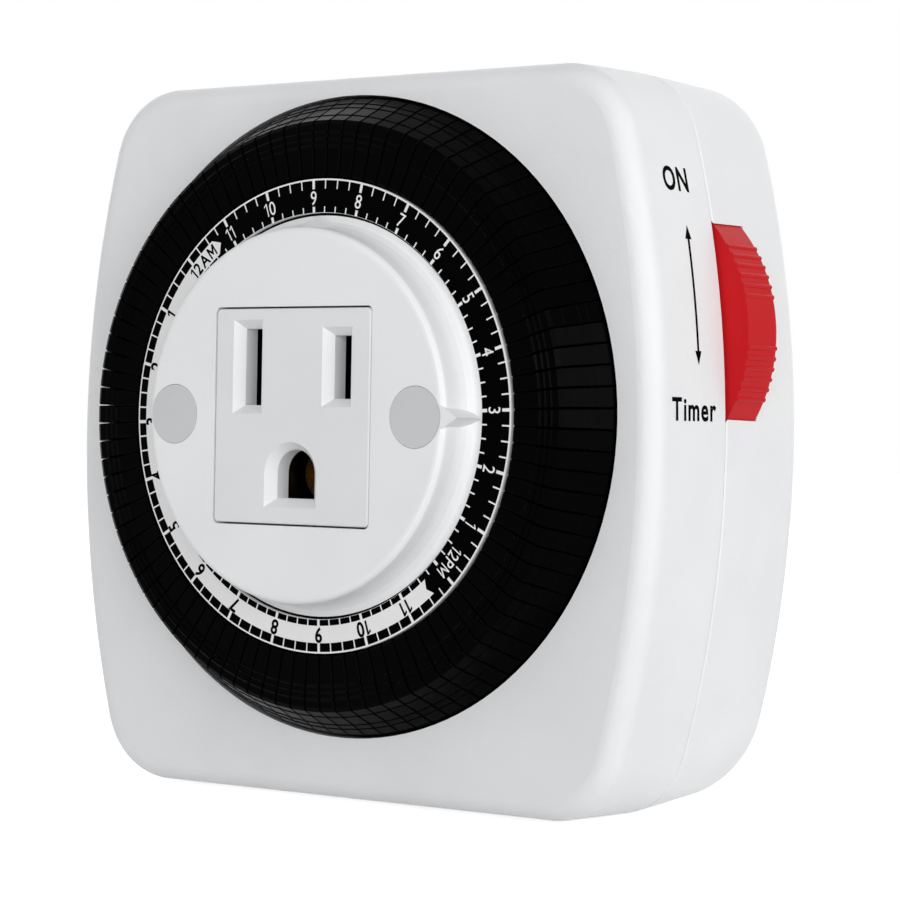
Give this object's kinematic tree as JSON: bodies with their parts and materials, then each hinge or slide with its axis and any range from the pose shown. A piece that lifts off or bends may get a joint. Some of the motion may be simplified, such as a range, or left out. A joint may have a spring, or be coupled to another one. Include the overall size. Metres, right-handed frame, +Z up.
{
  "type": "plug-in timer switch",
  "caption": "Plug-in mechanical 24-hour timer switch: rounded square case, push-pin dial round a grounded socket, red override rocker on the side, plug blades at the back.",
  "frame": {"origin": "on the case's back face, midway between the two flat plug blades", "axes": "+Z up, +Y out of the back face along the plug blades into the wall, front dial faces -Y, +X towards the side with the red rocker"},
  "size_m": [0.0859, 0.0621, 0.0828],
  "materials": {
    "white_case": "fine spark-eroded texture",
    "white_boss": "fine texture",
    "white_insert": "smooth",
    "grey_cap": "smooth",
    "black_pin": "polished",
    "printed_ring": "white with black print",
    "red_rocker": "smooth",
    "black_carrier": "smooth",
    "natural_gear": "smooth",
    "chassis_grey": "smooth",
    "base_brown": "smooth",
    "contact_brass": "rolled",
    "plated_blade": "nickel plated",
    "screw_steel": "zinc plated",
    "motor_steel": "zinc plated",
    "coil_copper": "enamelled copper wire",
    "rotor_magnet": "ferrite magnet",
    "lead_insulation": "extruded"
  },
  "bodies": {
    "case": {"front_shell": "white_case", "rear_shell": "white_case", "socket_boss": "white_boss", "socket_insert": "white_insert", "contact_carrier": "black_carrier", "screw_caps": "grey_cap", "boss_screws": "screw_steel", "case_screws": "screw_steel", "neutral_contact": "contact_brass", "hot_contact": "contact_brass", "ground_contact": "contact_brass", "neutral_blade": "plated_blade", "hot_blade": "plated_blade", "hot_link": "contact_brass", "ground_pin": "plated_blade", "prong_holder": "base_brown", "gear_spindle": "screw_steel", "motor_can": "motor_steel", "motor_cover": "motor_steel", "motor_coil": "coil_copper", "motor_leads": "lead_insulation", "chassis_plate": "chassis_grey", "chassis_screws": "screw_steel", "motor_screws": "screw_steel", "rocker_pin": "screw_steel", "lever_pin": "screw_steel", "hot_bus": "contact_brass", "switch_base": "base_brown"},
    "dial": {"dial_carrier": "black_carrier", "number_ring": "printed_ring"},
    "pins_01": {"pins_01": "black_pin"},
    "pins_02": {"pins_02": "black_pin"},
    "pins_03": {"pins_03": "black_pin"},
    "pins_04": {"pins_04": "black_pin"},
    "pins_05": {"pins_05": "black_pin"},
    "pins_06": {"pins_06": "black_pin"},
    "pins_07": {"pins_07": "black_pin"},
    "pins_08": {"pins_08": "black_pin"},
    "pins_09": {"pins_09": "black_pin"},
    "pins_10": {"pins_10": "black_pin"},
    "pins_11": {"pins_11": "black_pin"},
    "pins_12": {"pins_12": "black_pin"},
    "drive": {"dial_pinion": "natural_gear", "clutch_gear": "natural_gear", "clutch_spring": "screw_steel"},
    "rotor": {"motor_rotor": "rotor_magnet", "motor_pinion": "natural_gear"},
    "rocker": {"override_rocker": "red_rocker"},
    "lever": {"trip_lever": "natural_gear"},
    "pusher": {"contact_pusher": "natural_gear"},
    "contact": {"moving_blade": "contact_brass"}
  },
  "joints": [
    {"name": "dial_spin", "type": "hinge", "parent": "case", "child": "dial", "pos_m": [0, 0, -0.0054], "axis": [0, 1, 0], "continuous": true},
    {"name": "rocker_tilt", "type": "hinge", "parent": "case", "child": "rocker", "pos_m": [0.0258, -0.014, 0.0042], "axis": [0, -1, 0], "range_deg": [-6, 6]},
    {"name": "push_pins_01", "type": "slide", "parent": "dial", "child": "pins_01", "axis": [0, 1, 0], "range_m": [0, 0.003]},
    {"name": "push_pins_02", "type": "slide", "parent": "dial", "child": "pins_02", "axis": [0, 1, 0], "range_m": [0, 0.003]},
    {"name": "push_pins_03", "type": "slide", "parent": "dial", "child": "pins_03", "axis": [0, 1, 0], "range_m": [0, 0.003]},
    {"name": "push_pins_04", "type": "slide", "parent": "dial", "child": "pins_04", "axis": [0, 1, 0], "range_m": [0, 0.003]},
    {"name": "push_pins_05", "type": "slide", "parent": "dial", "child": "pins_05", "axis": [0, 1, 0], "range_m": [0, 0.003]},
    {"name": "push_pins_06", "type": "slide", "parent": "dial", "child": "pins_06", "axis": [0, 1, 0], "range_m": [0, 0.003]},
    {"name": "push_pins_07", "type": "slide", "parent": "dial", "child": "pins_07", "axis": [0, 1, 0], "range_m": [0, 0.003]},
    {"name": "push_pins_08", "type": "slide", "parent": "dial", "child": "pins_08", "axis": [0, 1, 0], "range_m": [0, 0.003]},
    {"name": "push_pins_09", "type": "slide", "parent": "dial", "child": "pins_09", "axis": [0, 1, 0], "range_m": [0, 0.003]},
    {"name": "push_pins_10", "type": "slide", "parent": "dial", "child": "pins_10", "axis": [0, 1, 0], "range_m": [0, 0.003]},
    {"name": "push_pins_11", "type": "slide", "parent": "dial", "child": "pins_11", "axis": [0, 1, 0], "range_m": [0, 0.003]},
    {"name": "push_pins_12", "type": "slide", "parent": "dial", "child": "pins_12", "axis": [0, 1, 0], "range_m": [0, 0.003]},
    {"name": "drive_spin", "type": "hinge", "parent": "case", "child": "drive", "pos_m": [-0.00739, -0.022, -0.0257], "axis": [0, 1, 0], "continuous": true},
    {"name": "rotor_spin", "type": "hinge", "parent": "case", "child": "rotor", "pos_m": [-0.01999, -0.014, -0.0257], "axis": [0, 1, 0], "continuous": true},
    {"name": "lever_swing", "type": "hinge", "parent": "case", "child": "lever", "pos_m": [0.024, -0.0204, -0.0054], "axis": [0, 0, 1], "range_deg": [0, 22.3]},
    {"name": "pusher_slide", "type": "slide", "parent": "case", "child": "pusher", "axis": [0, 1, 0], "range_m": [0, 0.00081]},
    {"name": "contact_bend", "type": "hinge", "parent": "case", "child": "contact", "pos_m": [0.0266, -0.00895, -0.0196], "axis": [-1, 0, 0], "range_deg": [0, 3.35]}
  ],
  "couplings": [
    {"joint": "drive_spin", "follows": "dial_spin", "ratio": 6.4},
    {"joint": "rotor_spin", "follows": "dial_spin", "ratio": -20.48},
    {"joint": "lever_swing", "follows": "push_pins_01", "rad_per_m": 129.15},
    {"joint": "pusher_slide", "follows": "push_pins_01", "ratio": 0.26667},
    {"joint": "contact_bend", "follows": "push_pins_01", "rad_per_m": 19.199}
  ]
}
